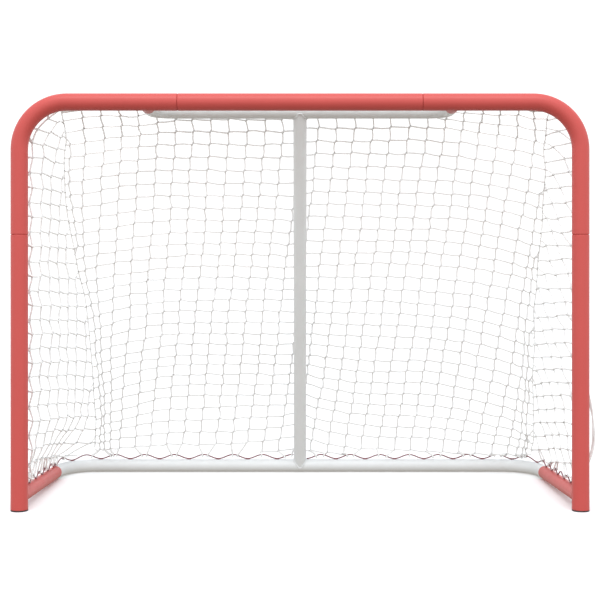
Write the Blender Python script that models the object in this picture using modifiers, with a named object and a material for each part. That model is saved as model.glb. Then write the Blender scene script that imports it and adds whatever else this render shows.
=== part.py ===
"""A hockey goal: a tube frame in plug-together pieces, with a net held to it by wavy lacing rods.

Metres, +Z up. The mouth faces -Y. The origin is the middle of the goal's footprint, on the floor.
Depths are measured backwards (+Y) from the axis plane of the front frame.
"""

import math

import bmesh
import bpy
from mathutils import Matrix, Vector

LEFT, RIGHT = -1, 1
SIDES = (("left", LEFT), ("right", RIGHT))

# The whole goal
WIDTH = 1.600
HEIGHT = 1.154
DEPTH = 0.672

# Tubes
POST_R = 0.024
BAR_R = 0.020
WALL = 0.002
GAP = 0.0003
TUBE_BEVEL_RESOLUTION = 6
TUBE_SIDES = 2 * (TUBE_BEVEL_RESOLUTION + 2)
SPIGOT = 0.050
SHOULDER = 0.002
END_CLEARANCE = 0.005
BEND_STEPS = 8

# Front frame
POST_X = WIDTH / 2 - POST_R
CROSSBAR_Z = HEIGHT - POST_R
CORNER_BEND = 0.131
POST_SEAM_Z = 0.764
CROSSBAR_SEAM_X = 0.339
PLANE_Y = -DEPTH / 2 + POST_R

# Floor frame
GROUND_DEPTH = DEPTH - POST_R - BAR_R
GROUND_BEND = 0.114
RAIL_FRONT_Z = 0.0388
RAIL_SEAM_DEPTH = 0.4885

# Shelf under the roof of the net
SHELF_DEPTH = 0.215
SHELF_LEG_X = 0.432
SHELF_BEND = 0.057
SHELF_SEAM_DEPTH = 0.100

# Foot caps
CAP_FLANGE = 0.0035
CAP_SKIRT = 0.018
CAP_CHAMFER = 0.0008

# Lacing rods: a wave whose troughs touch the tube that carries them
ROD_R = 0.002
ROD_WAVE_HEIGHT = 0.013
GROUND_WAVE = 0.0965
GROUND_FIRST_CREST = -0.027
RAIL_WAVE = 0.085
FRAME_WAVE = 0.082
POINTS_PER_WAVE = 6
ROD_BEVEL_RESOLUTION = 0
ROD_TO_JOINT = 0.055
ROD_TO_TUBE = 0.003
RAIL_ROD_TO_POST = 0.012
RAIL_CREST_PAST_END = 0.020
POST_ROD_TO_RAIL = 0.030
POST_ROD_TO_SEAM = 0.020
CORNER_ROD_TO_STUB = 0.010
CROSSBAR_ROD_TO_SEAM = 0.030

# Joint screws, pan headed
SCREW_SHANK_R = 0.0021
SCREW_LENGTH = 0.012
SCREW_HEAD_R = 0.0041
SCREW_HEAD_HEIGHT = 0.0024
SCREW_FLAT_R = 0.0026
SCREW_RIM_SHARE = 0.45
SCREW_POINT = 0.002
SCREW_STEPS = 8
HOLE_BEVEL_RESOLUTION = 2

# Net, as flat panels
NET_THICKNESS = 0.003
NET_EDGE = 0.004
NET_FRONT_DEPTH = 0.046
NET_FLOOR_Z = 0.066
NET_CORNER_MARGIN = 0.020
NET_TO_SHELF = 0.006
NET_FOOT_X = {LEFT: 0.677, RIGHT: 0.704}
NET_FOOT_TUCK = 0.008
NET_FOLD_X = {LEFT: 0.692, RIGHT: 0.726}
NET_FOLD_DEPTH = 0.165
NET_FOLD_Z = 1.050
NET_BACK_TOP_RISE = 0.012

# Making
TRIM_LENGTH = 0.12
MERGE_DISTANCE = 0.00005
SHARP_ANGLE = math.radians(35)

# Finishes
RED = (0.60, 0.105, 0.10, 1)
WHITE = (0.80, 0.80, 0.78, 1)
WINE = (0.30, 0.04, 0.05, 1)
BLACK = (0.03, 0.03, 0.03, 1)
ZINC = (0.62, 0.62, 0.60, 1)
NET_WHITE = (0.88, 0.88, 0.86, 1)
RED_ROUGHNESS = 0.35
WHITE_ROUGHNESS = 0.4
ROD_ROUGHNESS = 0.4
CAP_ROUGHNESS = 0.6
ZINC_ROUGHNESS = 0.3
NET_ROUGHNESS = 0.9


# Scene, collections and materials


def clear_scene():
    for obj in list(bpy.data.objects):
        bpy.data.objects.remove(obj, do_unlink=True)


def make_collection(name):
    collection = bpy.data.collections.new(name)
    bpy.context.scene.collection.children.link(collection)
    return collection


clear_scene()
PARTS = make_collection("hockey_goal")
CUTTERS = make_collection("cutters")


def paint(obj, color, roughness, metallic=0.0):
    """Give an object its own material."""
    material = bpy.data.materials.new(obj.name)
    material.use_nodes = True
    shader = material.node_tree.nodes["Principled BSDF"]
    shader.inputs["Base Color"].default_value = color
    shader.inputs["Roughness"].default_value = roughness
    shader.inputs["Metallic"].default_value = metallic
    obj.data.materials.clear()
    obj.data.materials.append(material)


def smooth(obj):
    obj.data.shade_smooth()
    obj.data.set_sharp_from_angle(angle=SHARP_ANGLE)


# Curves made solid


def poly_curve(name, points, radii, bevel_resolution):
    """A curve object through the points, as thick at each point as its radius says."""
    curve = bpy.data.curves.new(name, "CURVE")
    curve.dimensions = "3D"
    curve.bevel_depth = max(radii)
    curve.bevel_resolution = bevel_resolution
    curve.render_resolution_u = 0
    curve.use_fill_caps = True
    spline = curve.splines.new("POLY")
    spline.points.add(len(points) - 1)
    for place, point, radius in zip(spline.points, points, radii):
        place.co = (*point, 1)
        place.radius = radius / curve.bevel_depth
    return bpy.data.objects.new(name, curve)


def solid_from_curve(curve_object, collection):
    """Replace a curve object by a closed mesh object of the same name and place."""
    collection.objects.link(curve_object)
    graph = bpy.context.evaluated_depsgraph_get()
    mesh = bpy.data.meshes.new_from_object(curve_object.evaluated_get(graph))
    shell = bmesh.new()
    shell.from_mesh(mesh)
    bmesh.ops.remove_doubles(shell, verts=shell.verts, dist=MERGE_DISTANCE)
    bmesh.ops.recalc_face_normals(shell, faces=shell.faces)
    shell.to_mesh(mesh)
    shell.free()
    name, place = curve_object.name, curve_object.matrix_world.copy()
    bpy.data.objects.remove(curve_object, do_unlink=True)
    solid = bpy.data.objects.new(name, mesh)
    solid.matrix_world = place
    collection.objects.link(solid)
    return solid


def mark_as_cutter(obj):
    obj.hide_render = True
    obj.display_type = "WIRE"


def cut(obj, cutter):
    modifier = obj.modifiers.new(f"cut_{cutter.name}", "BOOLEAN")
    modifier.operation = "DIFFERENCE"
    modifier.solver = "EXACT"
    modifier.object = cutter


def round_cutter(name, start, end, radius, bevel_resolution=TUBE_BEVEL_RESOLUTION):
    """A straight round cutter between two points."""
    curve = poly_curve(name, [start, end], [radius, radius], bevel_resolution)
    cutter = solid_from_curve(curve, CUTTERS)
    mark_as_cutter(cutter)
    return cutter


# Hollow tubes. A path is a list of points and a profile the outer radius at each of them.


def arc(center, from_direction, to_direction, radius):
    """The points of a quarter bend from one direction to the other, both ends included."""
    points = []
    for step in range(BEND_STEPS + 1):
        angle = math.pi / 2 * step / BEND_STEPS
        offset = from_direction * math.cos(angle) + to_direction * math.sin(angle)
        points.append(center + offset * radius)
    return points


def with_spigot(path, profile):
    """Lengthen a tube's last end by a narrowed spigot that plugs into the next tube."""
    direction = (path[-1] - path[-2]).normalized()
    seam, outer = path[-1], profile[-1]
    narrow = outer - WALL - GAP
    path = path[:-1] + [seam - direction * SHOULDER, seam, seam + direction * SPIGOT]
    profile = profile[:-1] + [outer, narrow, narrow]
    return path, profile


def tube(name, path, profile, color, roughness):
    """A hollow tube, open at both ends."""
    body = solid_from_curve(poly_curve(name, path, profile, TUBE_BEVEL_RESOLUTION), PARTS)
    first = (path[0] - path[1]).normalized()
    last = (path[-1] - path[-2]).normalized()
    bore_path = [path[0] + first * END_CLEARANCE] + path[1:-1] + [path[-1] + last * END_CLEARANCE]
    bore_profile = [radius - WALL for radius in profile]
    bore_curve = poly_curve(f"{name}_bore", bore_path, bore_profile, TUBE_BEVEL_RESOLUTION)
    bore = solid_from_curve(bore_curve, CUTTERS)
    mark_as_cutter(bore)
    cut(body, bore)
    smooth(body)
    paint(body, color, roughness)
    return body


def at(x, depth, z):
    """A point from its place across, its depth behind the front frame and its height."""
    return Vector((x, PLANE_Y + depth, z))


UP, BACK = Vector((0, 0, 1)), Vector((0, 1, 0))


def outward(side):
    return Vector((side, 0, 0))


def rail_height(depth):
    """The height of a side rail's axis, which slopes down until the ground bar lies on the floor."""
    bend_depth = GROUND_DEPTH - GROUND_BEND
    return RAIL_FRONT_Z + (BAR_R - RAIL_FRONT_Z) * depth / bend_depth


# Front frame


def make_post(side_name, side):
    foot_z = CAP_FLANGE + GAP
    path = [at(side * POST_X, 0, foot_z), at(side * POST_X, 0, POST_SEAM_Z)]
    path, profile = with_spigot(path, [POST_R, POST_R])
    return tube(f"{side_name}_post", path, profile, RED, RED_ROUGHNESS)


def corner_bend(side):
    center = at(side * (POST_X - CORNER_BEND), 0, CROSSBAR_Z - CORNER_BEND)
    return arc(center, outward(side), UP, CORNER_BEND)


def make_corner(side_name, side):
    path = [at(side * POST_X, 0, POST_SEAM_Z + GAP)]
    path += corner_bend(side)
    path.append(at(side * (CROSSBAR_SEAM_X + GAP), 0, CROSSBAR_Z))
    return tube(f"{side_name}_corner_tube", path, [POST_R] * len(path), RED, RED_ROUGHNESS)


def make_crossbar():
    half_path = [at(0, 0, CROSSBAR_Z), at(CROSSBAR_SEAM_X, 0, CROSSBAR_Z)]
    return mirrored_tube("crossbar_tube", half_path, POST_R, RED, RED_ROUGHNESS)


# Floor frame


def make_side_rail(side_name, side):
    path = [
        at(side * POST_X, 0, rail_height(0)),
        at(side * POST_X, RAIL_SEAM_DEPTH - GAP, rail_height(RAIL_SEAM_DEPTH - GAP)),
    ]
    rail = tube(f"{side_name}_side_rail", path, [BAR_R, BAR_R], RED, RED_ROUGHNESS)
    saddle = round_cutter(
        f"{side_name}_rail_saddle",
        at(side * POST_X, 0, -TRIM_LENGTH),
        at(side * POST_X, 0, TRIM_LENGTH),
        POST_R + GAP,
    )
    cut(rail, saddle)
    return rail


def ground_path():
    """The ground bar's axis from its middle to the seam on the right."""
    bend_center = at(POST_X - GROUND_BEND, GROUND_DEPTH - GROUND_BEND, BAR_R)
    path = [at(0, GROUND_DEPTH, BAR_R)]
    path += arc(bend_center, BACK, outward(RIGHT), GROUND_BEND)
    path.append(at(POST_X, RAIL_SEAM_DEPTH, rail_height(RAIL_SEAM_DEPTH)))
    return path


def mirrored_tube(name, half_path, radius, color, roughness):
    """A tube with a spigot at both ends, from its right half, which starts on the middle plane."""
    path, profile = with_spigot(half_path, [radius] * len(half_path))
    left = [Vector((-p.x, p.y, p.z)) for p in reversed(path[1:])]
    return tube(name, left + path, list(reversed(profile[1:])) + profile, color, roughness)


def make_ground_bar():
    return mirrored_tube("ground_bar", ground_path(), BAR_R, WHITE, WHITE_ROUGHNESS)


# Shelf


def make_shelf_stub(side_name, side):
    x = side * SHELF_LEG_X
    path = [at(x, 0, CROSSBAR_Z), at(x, SHELF_SEAM_DEPTH - GAP, CROSSBAR_Z)]
    stub = tube(f"{side_name}_shelf_stub", path, [BAR_R, BAR_R], RED, RED_ROUGHNESS)
    saddle = round_cutter(
        f"{side_name}_stub_saddle",
        at(x - TRIM_LENGTH / 2, 0, CROSSBAR_Z),
        at(x + TRIM_LENGTH / 2, 0, CROSSBAR_Z),
        POST_R + GAP,
    )
    cut(stub, saddle)
    return stub


def make_shelf_bar():
    bend_center = at(SHELF_LEG_X - SHELF_BEND, SHELF_DEPTH - SHELF_BEND, CROSSBAR_Z)
    path = [at(0, SHELF_DEPTH, CROSSBAR_Z)]
    path += arc(bend_center, BACK, outward(RIGHT), SHELF_BEND)
    path.append(at(SHELF_LEG_X, SHELF_SEAM_DEPTH, CROSSBAR_Z))
    return mirrored_tube("shelf_bar", path, BAR_R, WHITE, WHITE_ROUGHNESS)


def make_center_post():
    """The leaning tube from the shelf to the ground bar, notched to fit round both."""
    top, bottom = at(0, SHELF_DEPTH, CROSSBAR_Z), at(0, GROUND_DEPTH, BAR_R)
    post = tube("center_post", [top, bottom], [BAR_R, BAR_R], WHITE, WHITE_ROUGHNESS)
    for name, end in (("upper", top), ("lower", bottom)):
        reach = Vector((TRIM_LENGTH / 2, 0, 0))
        cut(post, round_cutter(f"{name}_post_saddle", end - reach, end + reach, BAR_R + GAP))
    return post


# Turned pieces


def turned(name, outline, steps, place):
    """A solid of revolution about its own Z, from (radius, height) pairs listed top to bottom."""
    profile = bmesh.new()
    corners = [profile.verts.new((radius, 0, height)) for radius, height in outline]
    for first, second in zip(corners, corners[1:]):
        profile.edges.new((first, second))
    mesh = bpy.data.meshes.new(name)
    profile.to_mesh(mesh)
    profile.free()
    obj = bpy.data.objects.new(name, mesh)
    PARTS.objects.link(obj)
    obj.matrix_world = place
    screw = obj.modifiers.new("turn", "SCREW")
    screw.steps = steps
    screw.render_steps = steps
    screw.use_merge_vertices = True
    screw.merge_threshold = MERGE_DISTANCE
    screw.use_smooth_shade = True
    return obj


def make_foot_cap(side_name, side):
    """A plug for the foot of a post: a cup turned upside up, with a flange under the tube."""
    skirt_r = POST_R - WALL - GAP
    top = CAP_FLANGE + CAP_SKIRT
    outline = [
        (0, CAP_FLANGE),
        (skirt_r - WALL, CAP_FLANGE),
        (skirt_r - WALL, top),
        (skirt_r, top),
        (skirt_r, CAP_FLANGE),
        (POST_R, CAP_FLANGE),
        (POST_R, CAP_CHAMFER),
        (POST_R - CAP_CHAMFER, 0),
        (0, 0),
    ]
    cap = turned(
        f"{side_name}_foot_cap", outline, TUBE_SIDES, Matrix.Translation(at(side * POST_X, 0, 0))
    )
    paint(cap, BLACK, CAP_ROUGHNESS)
    return cap


def make_screw(name, surface, direction, tubes):
    """A screw driven in at a point of a tube's surface, against the outward direction.

    The tubes that it passes through get a clearance hole.
    """
    outline = [
        (0, SCREW_HEAD_HEIGHT),
        (SCREW_FLAT_R, SCREW_HEAD_HEIGHT),
        (SCREW_HEAD_R, SCREW_HEAD_HEIGHT * SCREW_RIM_SHARE),
        (SCREW_HEAD_R, 0),
        (SCREW_SHANK_R, 0),
        (SCREW_SHANK_R, SCREW_POINT - SCREW_LENGTH),
        (0, -SCREW_LENGTH),
    ]
    turn = UP.rotation_difference(direction).to_matrix().to_4x4()
    place = Matrix.Translation(surface + direction * GAP) @ turn
    screw = turned(name, outline, SCREW_STEPS, place)
    paint(screw, ZINC, ZINC_ROUGHNESS, metallic=1.0)
    hole = round_cutter(
        f"{name}_hole",
        surface - direction * SCREW_LENGTH,
        surface + direction * SCREW_LENGTH,
        SCREW_SHANK_R + GAP,
        bevel_resolution=HOLE_BEVEL_RESOLUTION,
    )
    for each in tubes:
        cut(each, hole)
    return screw


# Lacing rods


def wave_path(route, normal, tube_r, period, first_crest):
    """The points of a rod that waves along a route on a tube, standing out along the normal.

    The route is a function from the distance along it to a point on the tube's axis, and comes
    with the distances at which the rod starts and ends.
    """
    place, start, end = route
    count = max(2, round((end - start) / period * POINTS_PER_WAVE))
    points = []
    for step in range(count + 1):
        along = start + (end - start) * step / count
        phase = 2 * math.pi * (along - first_crest) / period
        rise = ROD_WAVE_HEIGHT * (1 + math.cos(phase)) / 2
        points.append(place(along) + normal * (tube_r + GAP + ROD_R + rise))
    return points


def make_rod(name, points):
    curve = poly_curve(name, points, [ROD_R] * len(points), ROD_BEVEL_RESOLUTION)
    rod = solid_from_curve(curve, PARTS)
    smooth(rod)
    paint(rod, WINE, ROD_ROUGHNESS)
    return rod


def straight(start, end):
    """A straight route between two points."""
    length = (end - start).length
    direction = (end - start).normalized()
    return (lambda along: start + direction * along), 0, length


def along_ground_bar(distance):
    """The point of the ground bar's axis at a distance from its middle, negative to the left."""
    side = RIGHT if distance >= 0 else LEFT
    reach = abs(distance)
    flat = POST_X - GROUND_BEND
    bend_length = GROUND_BEND * math.pi / 2
    bend_depth = GROUND_DEPTH - GROUND_BEND
    if reach <= flat:
        return at(distance, GROUND_DEPTH, BAR_R)
    if reach <= flat + bend_length:
        angle = (reach - flat) / GROUND_BEND
        x = side * (flat + GROUND_BEND * math.sin(angle))
        return at(x, bend_depth + GROUND_BEND * math.cos(angle), BAR_R)
    depth = bend_depth - (reach - flat - bend_length)
    return at(side * POST_X, depth, rail_height(depth))


def make_ground_lacing(side_name, side):
    """The rod from beside the centre post, round the bend, to the end of the ground bar."""
    bend_end = POST_X - GROUND_BEND + GROUND_BEND * math.pi / 2
    far = bend_end + GROUND_DEPTH - GROUND_BEND - RAIL_SEAM_DEPTH - ROD_TO_TUBE
    near = BAR_R + ROD_TO_TUBE
    start, end = (near, far) if side == RIGHT else (-far, -near)
    route = (along_ground_bar, start, end)
    points = wave_path(route, UP, BAR_R, GROUND_WAVE, GROUND_FIRST_CREST)
    return make_rod(f"{side_name}_ground_lacing_rod", points)


def make_rail_lacing(side_name, side):
    depths = (POST_R + RAIL_ROD_TO_POST, RAIL_SEAM_DEPTH - ROD_TO_TUBE)
    start, end = (at(side * POST_X, depth, rail_height(depth)) for depth in depths)
    last_crest = (end - start).length + RAIL_CREST_PAST_END
    points = wave_path(straight(start, end), UP, BAR_R, RAIL_WAVE, last_crest)
    return make_rod(f"{side_name}_rail_lacing_rod", points)


def make_post_lacing(side_name, side):
    start = at(side * POST_X, 0, RAIL_FRONT_Z + BAR_R + POST_ROD_TO_RAIL)
    end = at(side * POST_X, 0, POST_SEAM_Z - POST_ROD_TO_SEAM)
    points = wave_path(straight(start, end), BACK, POST_R, FRAME_WAVE, 0)
    return make_rod(f"{side_name}_post_lacing_rod", points)


def make_corner_lacing(side_name, side):
    """The rod from above the post seam, round the bend, to just outside the shelf stub."""
    leg_end = CROSSBAR_Z - CORNER_BEND
    leg_start = POST_SEAM_Z + ROD_TO_JOINT
    bend_length = CORNER_BEND * math.pi / 2
    arm = POST_X - CORNER_BEND - SHELF_LEG_X - BAR_R - CORNER_ROD_TO_STUB

    def place(along):
        if along <= leg_end - leg_start:
            return at(side * POST_X, 0, leg_start + along)
        turned_by = (along - (leg_end - leg_start)) / CORNER_BEND
        bend_x = POST_X - CORNER_BEND
        if turned_by <= math.pi / 2:
            x = bend_x + CORNER_BEND * math.cos(turned_by)
            return at(side * x, 0, leg_end + CORNER_BEND * math.sin(turned_by))
        run = along - (leg_end - leg_start) - bend_length
        return at(side * (bend_x - run), 0, CROSSBAR_Z)

    route = (place, 0, leg_end - leg_start + bend_length + arm)
    points = wave_path(route, BACK, POST_R, FRAME_WAVE, 0)
    return make_rod(f"{side_name}_corner_lacing_rod", points)


def make_crossbar_lacing():
    reach = CROSSBAR_SEAM_X - CROSSBAR_ROD_TO_SEAM
    start, end = at(-reach, 0, CROSSBAR_Z), at(reach, 0, CROSSBAR_Z)
    points = wave_path(straight(start, end), BACK, POST_R, FRAME_WAVE, reach)
    return make_rod("crossbar_lacing_rod", points)


# Net


def inset(corners, distance):
    """Move the sides of a flat polygon, given counter-clockwise, inwards by a distance."""
    result = []
    for index, corner in enumerate(corners):
        before = (corner - corners[index - 1]).normalized()
        after = (corners[(index + 1) % len(corners)] - corner).normalized()
        spread = (after - before).normalized()
        half_angle = math.acos(max(-1.0, min(1.0, -before.dot(after)))) / 2
        result.append(corner + spread * distance / math.sin(half_angle))
    return result


def net_panel(name, corners):
    """A flat panel through the corners, thin and closed, set back from its neighbours' edges."""
    corners = inset(corners, NET_EDGE)
    across = (corners[1] - corners[0]).normalized()
    normal = across.cross(corners[2] - corners[0]).normalized()
    up = normal.cross(across)
    place = Matrix((across, up, normal)).transposed().to_4x4()
    place.translation = corners[0]
    flat = place.inverted()
    curve = bpy.data.curves.new(name, "CURVE")
    curve.dimensions = "2D"
    curve.fill_mode = "BOTH"
    curve.extrude = NET_THICKNESS / 2
    curve.render_resolution_u = 0
    spline = curve.splines.new("POLY")
    spline.points.add(len(corners) - 1)
    spline.use_cyclic_u = True
    for point, corner in zip(spline.points, corners):
        local = flat @ corner
        point.co = (local.x, local.y, 0, 1)
    panel = bpy.data.objects.new(name, curve)
    PARTS.objects.link(panel)
    panel.matrix_world = place
    paint(panel, NET_WHITE, NET_ROUGHNESS)
    return panel


def back_plane_depth(z):
    """The depth of the net's back at a height, just clear behind the centre post."""
    lean = (GROUND_DEPTH - SHELF_DEPTH) / (CROSSBAR_Z - BAR_R)
    clearance = (BAR_R + NET_THICKNESS) * math.sqrt(1 + lean * lean)
    return GROUND_DEPTH - (z - BAR_R) * lean + clearance


def make_net():
    """The net's faces: a roof, a sloping back and five facets round each end."""
    roof_z = CROSSBAR_Z + BAR_R + GAP + NET_THICKNESS / 2
    front_x = POST_X - CORNER_BEND - NET_CORNER_MARGIN
    shelf_x = SHELF_LEG_X + BAR_R + NET_TO_SHELF
    back_top_z = CROSSBAR_Z + NET_BACK_TOP_RISE
    back_top = back_plane_depth(back_top_z)
    floor_depth = back_plane_depth(NET_FLOOR_Z)
    net_panel(
        "net_top",
        [
            at(-front_x, NET_FRONT_DEPTH, roof_z),
            at(front_x, NET_FRONT_DEPTH, roof_z),
            at(shelf_x, back_top, roof_z),
            at(-shelf_x, back_top, roof_z),
        ],
    )
    net_panel(
        "net_back",
        [
            at(-NET_FOOT_X[LEFT], floor_depth, NET_FLOOR_Z),
            at(NET_FOOT_X[RIGHT], floor_depth, NET_FLOOR_Z),
            at(shelf_x, back_top, back_top_z),
            at(-shelf_x, back_top, back_top_z),
        ],
    )
    for side_name, side in SIDES:
        shelf = at(side * shelf_x, back_top, back_top_z)
        roof = at(side * front_x, NET_FRONT_DEPTH, back_top_z)
        fold = at(side * NET_FOLD_X[side], NET_FOLD_DEPTH, NET_FOLD_Z)
        foot = at(side * NET_FOOT_X[side], floor_depth - NET_FOOT_TUCK, NET_FLOOR_Z)
        post_top = at(side * POST_X, NET_FRONT_DEPTH, CROSSBAR_Z - CORNER_BEND)
        post_foot = at(side * POST_X, NET_FRONT_DEPTH, NET_FLOOR_Z)
        net_panel(f"net_{side_name}_roof", [shelf, roof, fold])
        net_panel(f"net_{side_name}_corner", [roof, post_top, fold])
        net_panel(f"net_{side_name}_shoulder", [shelf, fold, foot])
        net_panel(f"net_{side_name}_flank", [fold, post_top, foot])
        net_panel(f"net_{side_name}_side", [post_top, post_foot, foot])


def build():
    crossbar = make_crossbar()
    ground_bar = make_ground_bar()
    shelf_bar = make_shelf_bar()
    make_center_post()
    middle = SPIGOT / 2
    for side_name, side in SIDES:
        post = make_post(side_name, side)
        corner = make_corner(side_name, side)
        rail = make_side_rail(side_name, side)
        stub = make_shelf_stub(side_name, side)
        make_foot_cap(side_name, side)
        x = side * POST_X
        make_screw(
            f"{side_name}_post_screw",
            at(x, POST_R, POST_SEAM_Z + middle),
            BACK,
            (post, corner),
        )
        make_screw(
            f"{side_name}_crossbar_screw",
            at(side * (CROSSBAR_SEAM_X + middle), POST_R, CROSSBAR_Z),
            BACK,
            (corner, crossbar),
        )
        depth = RAIL_SEAM_DEPTH - middle
        make_screw(
            f"{side_name}_rail_screw",
            at(x, depth, rail_height(depth)) + outward(side) * BAR_R,
            outward(side),
            (rail, ground_bar),
        )
        make_screw(
            f"{side_name}_shelf_screw",
            at(side * (SHELF_LEG_X + BAR_R), SHELF_SEAM_DEPTH - middle, CROSSBAR_Z),
            outward(side),
            (stub, shelf_bar),
        )
        make_rail_lacing(side_name, side)
        make_ground_lacing(side_name, side)
        make_post_lacing(side_name, side)
        make_corner_lacing(side_name, side)
    make_crossbar_lacing()
    make_net()


build()
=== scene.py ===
import math

import bmesh
import bpy
import numpy as np
from mathutils import Matrix, Vector, noise


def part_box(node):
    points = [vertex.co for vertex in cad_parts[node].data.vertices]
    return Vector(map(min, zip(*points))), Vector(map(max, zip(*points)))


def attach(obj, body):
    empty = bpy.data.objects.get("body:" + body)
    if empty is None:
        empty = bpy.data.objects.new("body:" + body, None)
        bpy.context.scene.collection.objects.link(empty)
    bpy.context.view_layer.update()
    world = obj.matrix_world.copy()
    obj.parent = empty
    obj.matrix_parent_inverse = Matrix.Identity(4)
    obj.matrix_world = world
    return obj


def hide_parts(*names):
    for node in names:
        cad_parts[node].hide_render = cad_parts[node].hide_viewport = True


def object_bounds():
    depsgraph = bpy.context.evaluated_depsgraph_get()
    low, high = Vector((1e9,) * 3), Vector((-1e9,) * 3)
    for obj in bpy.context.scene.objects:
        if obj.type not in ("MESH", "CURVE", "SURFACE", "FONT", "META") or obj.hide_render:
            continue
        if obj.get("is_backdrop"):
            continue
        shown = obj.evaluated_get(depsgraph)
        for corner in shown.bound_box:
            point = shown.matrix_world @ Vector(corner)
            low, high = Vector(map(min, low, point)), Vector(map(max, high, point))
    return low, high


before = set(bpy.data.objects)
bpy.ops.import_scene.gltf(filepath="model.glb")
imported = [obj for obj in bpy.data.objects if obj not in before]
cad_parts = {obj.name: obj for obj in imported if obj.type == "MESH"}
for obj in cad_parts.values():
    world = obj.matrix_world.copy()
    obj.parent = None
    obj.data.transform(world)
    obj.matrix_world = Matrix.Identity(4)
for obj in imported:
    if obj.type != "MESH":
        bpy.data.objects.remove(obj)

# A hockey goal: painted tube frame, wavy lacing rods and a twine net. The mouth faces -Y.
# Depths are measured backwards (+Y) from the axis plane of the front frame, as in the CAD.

CAD_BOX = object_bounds()
LEFT, RIGHT = -1, 1
SIDES = {LEFT: "left", RIGHT: "right"}

# Driving sizes, read from the frame

CAP_LOW, CAP_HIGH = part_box("right_foot_cap")
POST_X = (CAP_LOW.x + CAP_HIGH.x) / 2
PLANE_Y = (CAP_LOW.y + CAP_HIGH.y) / 2
POST_R = (CAP_HIGH.x - CAP_LOW.x) / 2
GROUND_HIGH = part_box("ground_bar")[1]
SHELF_LOW, SHELF_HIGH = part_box("shelf_bar")
BAR_R = (SHELF_HIGH.z - SHELF_LOW.z) / 2
GROUND_DEPTH = GROUND_HIGH.y - BAR_R - PLANE_Y
SHELF_DEPTH = SHELF_HIGH.y - BAR_R - PLANE_Y
SHELF_LEG_X = SHELF_HIGH.x - BAR_R
CROSSBAR_Z = CAD_BOX[1].z - POST_R

# Sizes that the frame's boxes don't tell

WALL = 0.002
GAP = 0.0003
SPIGOT = 0.050
SHOULDER = 0.002
CORNER_BEND = 0.131
GROUND_BEND = 0.114
SHELF_BEND = 0.057
RAIL_FRONT_Z = 0.0388
POST_SEAM_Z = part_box("right_post")[1].z - SPIGOT
CROSSBAR_SEAM_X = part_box("crossbar_tube")[1].x - SPIGOT
RAIL_SEAM_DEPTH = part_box("right_side_rail")[1].y - PLANE_Y + GAP
SHELF_SEAM_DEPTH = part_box("right_shelf_stub")[1].y - PLANE_Y + GAP

TUBE_SIDES = 56
BEND_STEPS = 28
LIP = 0.0006
SUPPORT = 0.0015

ROD_R = 0.002
ROD_WAVE_HEIGHT = 0.013
GROUND_WAVE = 0.0965
GROUND_FIRST_CREST = -0.027
RAIL_WAVE = 0.085
FRAME_WAVE = 0.082
ROD_TO_JOINT = 0.055
ROD_TO_TUBE = 0.003
RAIL_ROD_TO_POST = 0.012
RAIL_CREST_PAST_END = 0.020
POST_ROD_TO_RAIL = 0.030
POST_ROD_TO_SEAM = 0.020
CORNER_ROD_TO_STUB = 0.010
CROSSBAR_ROD_TO_SEAM = 0.030
ROD_SIDES = 14
ROD_POINTS_PER_WAVE = 22

TWINE_R = 0.0028
TWINE_SIDES = 6


# Vectors and lines


def at(x, depth, z):
    """A point from its place across, its depth behind the front frame and its height."""
    return np.array((x, PLANE_Y + depth, z), float)


UP, BACK = np.array((0.0, 0.0, 1.0)), np.array((0.0, 1.0, 0.0))


def outward(side):
    return np.array((side, 0.0, 0.0))


def side_of(x):
    return RIGHT if x > 0 else LEFT


def clamp(value):
    return min(max(value, 0.0), 1.0)


def unit(vectors):
    vectors = np.asarray(vectors, float)
    return vectors / np.linalg.norm(vectors, axis=-1, keepdims=True)


def smooth_line(points, steps):
    """A Catmull-Rom curve through the points, with some steps from each to the next."""
    points = np.asarray(points, float)
    ends = (2 * points[0] - points[1], 2 * points[-1] - points[-2])
    padded = np.vstack([ends[0], points, ends[1]])
    a, b, c, d = (padded[k : len(padded) - 3 + k][:, None] for k in range(4))
    t = (np.arange(steps) / steps)[None, :, None]
    curve = 2 * b + (c - a) * t + (2 * a - 5 * b + 4 * c - d) * t**2
    curve = (curve + (3 * b - a - 3 * c + d) * t**3) / 2
    return np.vstack([curve.reshape(-1, 3), points[-1:]])


def line_frames(path, closed=False):
    """The directions along a path and two across it, turning as little as they can."""
    path = np.asarray(path, float)
    if closed:
        runs = unit(np.roll(path, -1, axis=0) - path)
        along = unit(runs + np.roll(runs, 1, axis=0))
    else:
        runs = unit(np.diff(path, axis=0))
        along = unit(np.vstack([runs[:1], runs[1:] + runs[:-1], runs[-1:]]))
    axis = np.eye(3)[np.argmin(np.abs(along[0]))]
    across = np.empty_like(path)
    current = np.cross(along[0], axis)
    for index, direction in enumerate(along):
        current = current - direction * current.dot(direction)
        current = current / math.sqrt(current.dot(current))
        across[index] = current
    return path, along, across, np.cross(along, across)


def ring_angles(sides):
    turn = 2 * math.pi * np.arange(sides) / sides
    return np.cos(turn)[:, None], np.sin(turn)[:, None]


# Surfaces

# A strand's rounded tip, from the strand outwards: share of its width, share of its radius past it
TIP_STEPS = ((0.92, 0.35), (0.6, 0.8), (0.2, 0.98))


def add_object(name, data):
    obj = bpy.data.objects.new(name, data)
    bpy.context.scene.collection.objects.link(obj)
    return obj


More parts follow.
